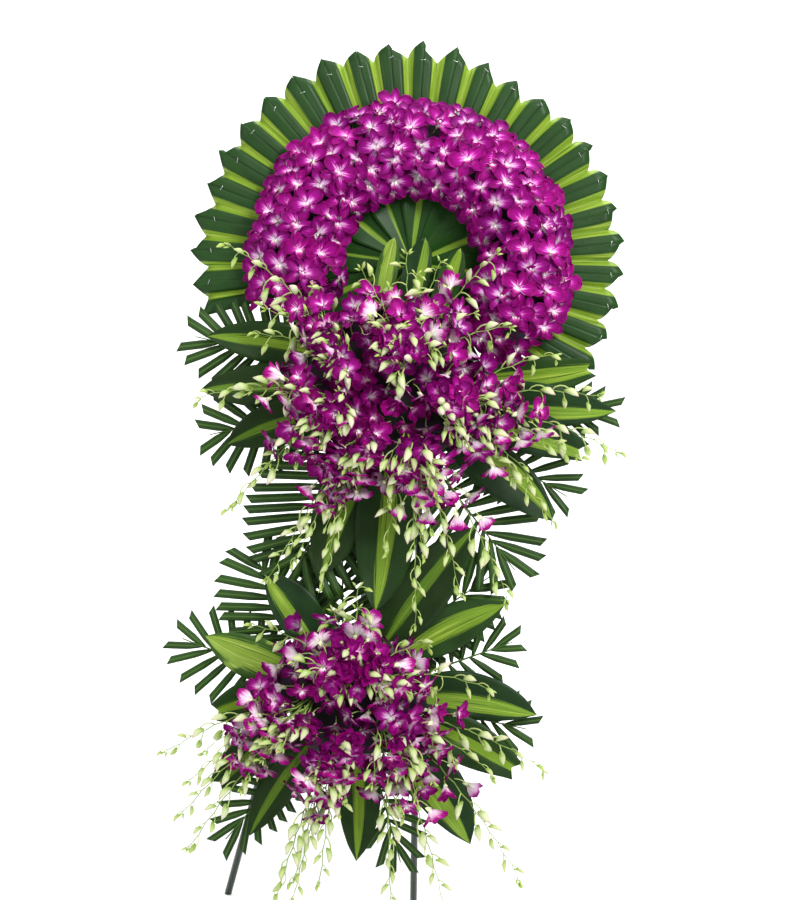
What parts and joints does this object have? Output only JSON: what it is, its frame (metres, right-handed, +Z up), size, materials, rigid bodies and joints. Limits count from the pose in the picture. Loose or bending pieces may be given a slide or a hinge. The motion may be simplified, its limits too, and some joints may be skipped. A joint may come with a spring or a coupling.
{
  "type": "funeral wreath",
  "caption": "Two-tier standing funeral wreath: pleated leaf collar, open orchid ring and hanging orchid sprays with palm fronds on a tripod easel.",
  "frame": {"origin": "on the floor below the middle of the bounding box", "axes": "+X to the wreath's right as seen from the front, -Y out of its front, +Z up"},
  "size_m": [0.9078, 0.8608, 1.7142],
  "materials": {
    "easel": "dark green paint on round steel bar, satin",
    "board": "sawn plywood, matt",
    "foam": "wet floral foam, matt and porous",
    "collar_leaf": "fresh variegated leaf, dark green with a lime stripe, satin",
    "striped_leaf": "fresh broad leaf, dark green with a lime middle, satin",
    "palm_leaf": "fresh trimmed palm frond, deep green, satin",
    "orchid_petal": "fresh orchid petals, magenta with a white throat, soft sheen",
    "orchid_bud": "orchid buds and stems, pale green, satin"
  },
  "bodies": {
    "root": {"backing_board": "board", "fan_left_high": "collar_leaf", "fan_left_low": "collar_leaf", "fan_right_high": "collar_leaf", "fan_right_low": "collar_leaf", "left_leg": "easel", "lower_blooms": "orchid_petal", "lower_crossbar": "easel", "lower_foam": "foam", "lower_leaf_1": "striped_leaf", "lower_leaf_10": "striped_leaf", "lower_leaf_11": "striped_leaf", "lower_leaf_2": "striped_leaf", "lower_leaf_3": "striped_leaf", "lower_leaf_4": "striped_leaf", "lower_leaf_5": "striped_leaf", "lower_leaf_6": "striped_leaf", "lower_leaf_7": "striped_leaf", "lower_leaf_8": "striped_leaf", "lower_leaf_9": "striped_leaf", "lower_palms_above": "palm_leaf", "lower_palms_below": "palm_leaf", "lower_palms_left": "palm_leaf", "lower_palms_right": "palm_leaf", "lower_sprays_above": "orchid_bud", "lower_sprays_below": "orchid_bud", "lower_sprays_left": "orchid_bud", "lower_sprays_right": "orchid_bud", "rear_leg": "easel", "right_leg": "easel", "ring_blooms_left_high": "orchid_petal", "ring_blooms_left_low": "orchid_petal", "ring_blooms_right_high": "orchid_petal", "ring_blooms_right_low": "orchid_petal", "ring_foam": "foam", "rosette_leaves": "collar_leaf", "upper_blooms": "orchid_petal", "upper_crossbar": "easel", "upper_foam": "foam", "upper_leaf_1": "striped_leaf", "upper_leaf_2": "striped_leaf", "upper_leaf_3": "striped_leaf", "upper_leaf_4": "striped_leaf", "upper_leaf_5": "striped_leaf", "upper_leaf_6": "striped_leaf", "upper_leaf_7": "striped_leaf", "upper_leaf_8": "striped_leaf", "upper_leaf_9": "striped_leaf", "upper_palms_below": "palm_leaf", "upper_palms_left": "palm_leaf", "upper_palms_right": "palm_leaf", "upper_sprays_above": "orchid_bud", "upper_sprays_below_left": "orchid_bud", "upper_sprays_below_right": "orchid_bud", "upper_sprays_left": "orchid_bud", "upper_sprays_left_high": "orchid_bud", "upper_sprays_right": "orchid_bud", "upright_leaf_left": "striped_leaf", "upright_leaf_middle": "striped_leaf", "upright_leaf_right": "striped_leaf"}
  },
  "joints": []
}
